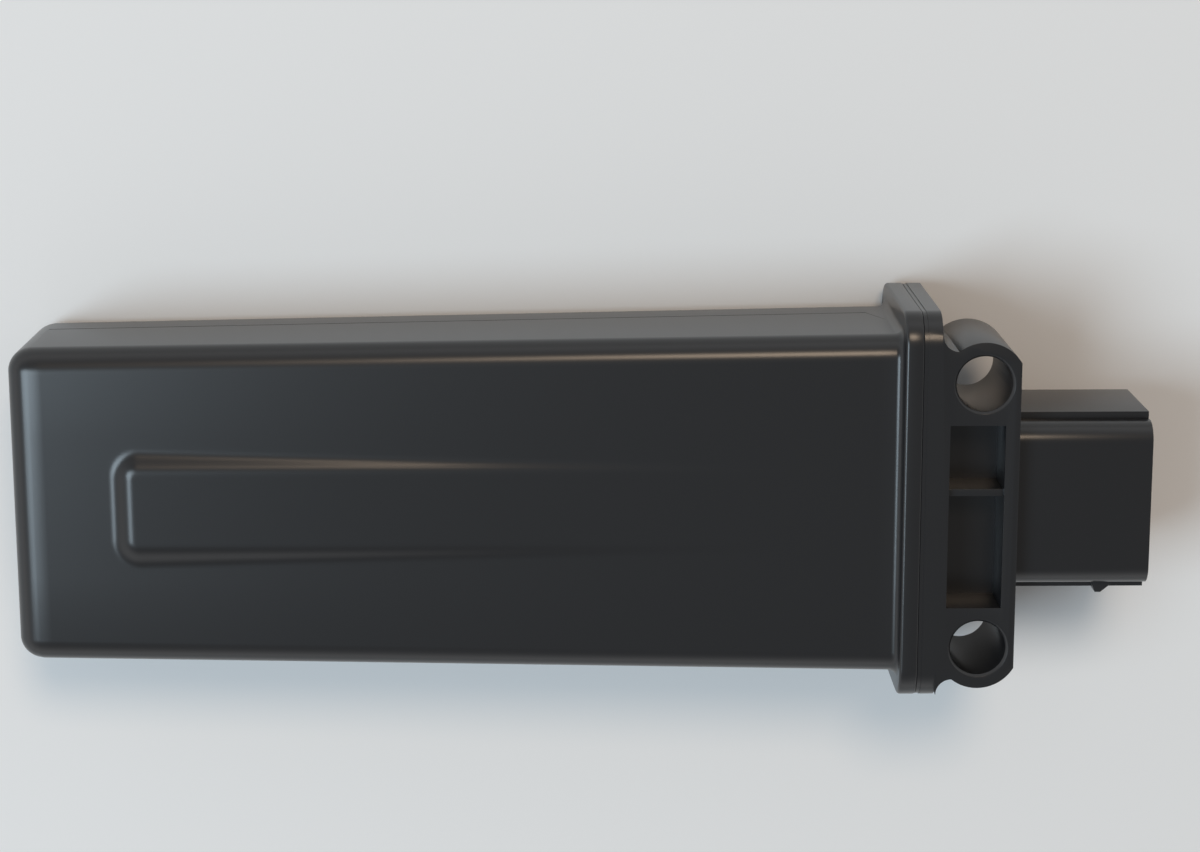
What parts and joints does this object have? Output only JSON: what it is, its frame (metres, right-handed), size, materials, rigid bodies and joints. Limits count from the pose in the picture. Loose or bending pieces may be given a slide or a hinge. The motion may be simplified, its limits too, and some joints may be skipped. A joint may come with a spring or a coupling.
{
  "type": "tyre pressure control unit",
  "caption": "Sealed black plastic electronics pot with a welded end cap, screw lugs and a stepped plug-in connector shroud.",
  "frame": {"origin": "middle of the bounding box on the underside of the flange", "axes": "+X towards the connector, +Z towards the marked face, +Y to its left when looking along +X"},
  "size_m": [0.1436, 0.0496, 0.0289],
  "materials": {
    "pot_plastic": "glossy black moulded plastic, lightly scuffed",
    "cap_plastic": "glossy black moulded plastic, dusty in its corners",
    "sealant": "dull greyish seam bead",
    "board": "green solder mask",
    "chip_plastic": "matt moulded",
    "filter_lid": "plated lid",
    "bright_can": "bright drawn can",
    "ferrite": "dull ferrite",
    "aerial_wire": "drawn wire",
    "ceramic": "fired ceramic",
    "contact_metal": "tin plated"
  },
  "bodies": {
    "root": {"housing": "pot_plastic", "end_cap": "cap_plastic", "sealant_bead": "sealant", "circuit_board": "board", "microcontroller": "chip_plastic", "radio_receiver": "chip_plastic", "memory_chip": "chip_plastic", "bus_transceiver": "chip_plastic", "surface_wave_filter": "filter_lid", "quartz_crystal": "bright_can", "voltage_regulator": "chip_plastic", "protection_diode": "chip_plastic", "supply_capacitor": "bright_can", "power_choke": "ferrite", "bus_choke": "ferrite", "aerial": "aerial_wire", "chip_capacitor_1": "ceramic", "chip_capacitor_2": "ceramic", "chip_capacitor_3": "ceramic", "chip_capacitor_4": "ceramic", "chip_capacitor_5": "ceramic", "chip_capacitor_6": "ceramic", "contact_1": "contact_metal", "contact_2": "contact_metal", "contact_3": "contact_metal", "contact_4": "contact_metal", "contact_5": "contact_metal", "contact_6": "contact_metal"}
  },
  "joints": []
}
